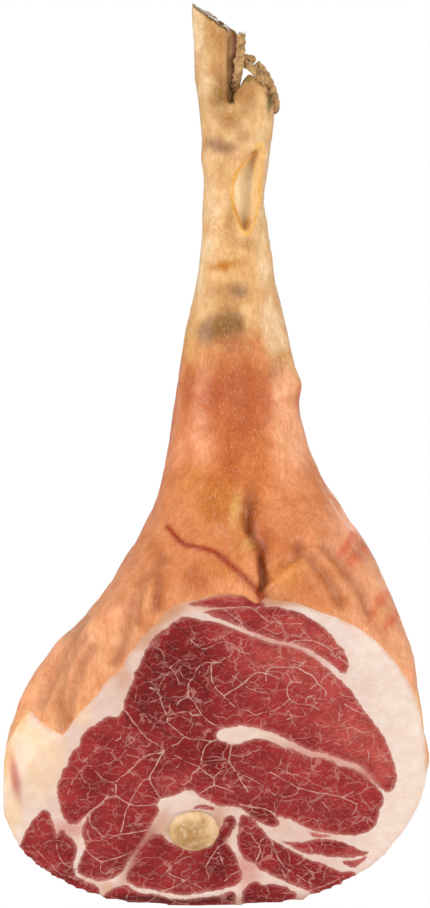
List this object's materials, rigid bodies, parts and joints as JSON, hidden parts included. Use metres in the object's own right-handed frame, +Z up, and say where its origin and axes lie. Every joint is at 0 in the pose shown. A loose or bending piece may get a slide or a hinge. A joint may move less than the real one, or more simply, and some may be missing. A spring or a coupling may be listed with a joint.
{
  "type": "cured ham",
  "caption": "Whole dry-cured ham on the bone, shank up, with an oblique flat cut face showing marbled lean, a fat rim and the femur ball, and a twine tied at the heel.",
  "frame": {"origin": "the point inside the rope's loop, over the heel, where a hook holds the hanging ham", "axes": "+Z up along the leg from the cut end to the sawn shank, +X to the heel's side, -Y towards the side the cut face slants to"},
  "size_m": [0.3114, 0.1768, 0.6608],
  "materials": {
    "cured_meat": "greasy golden to terracotta rind, cream fat rim and dark red marbled lean on the cut face, slightly glossy",
    "bone": "mottled yellow-cream bone and cartilage with tan shading, satin",
    "twine": "rough brown twisted natural-fibre twine, matte"
  },
  "bodies": {
    "root": {"cured_leg": "cured_meat", "femur": "bone", "hanging_rope": "twine", "rope_knot": "twine"}
  },
  "joints": []
}
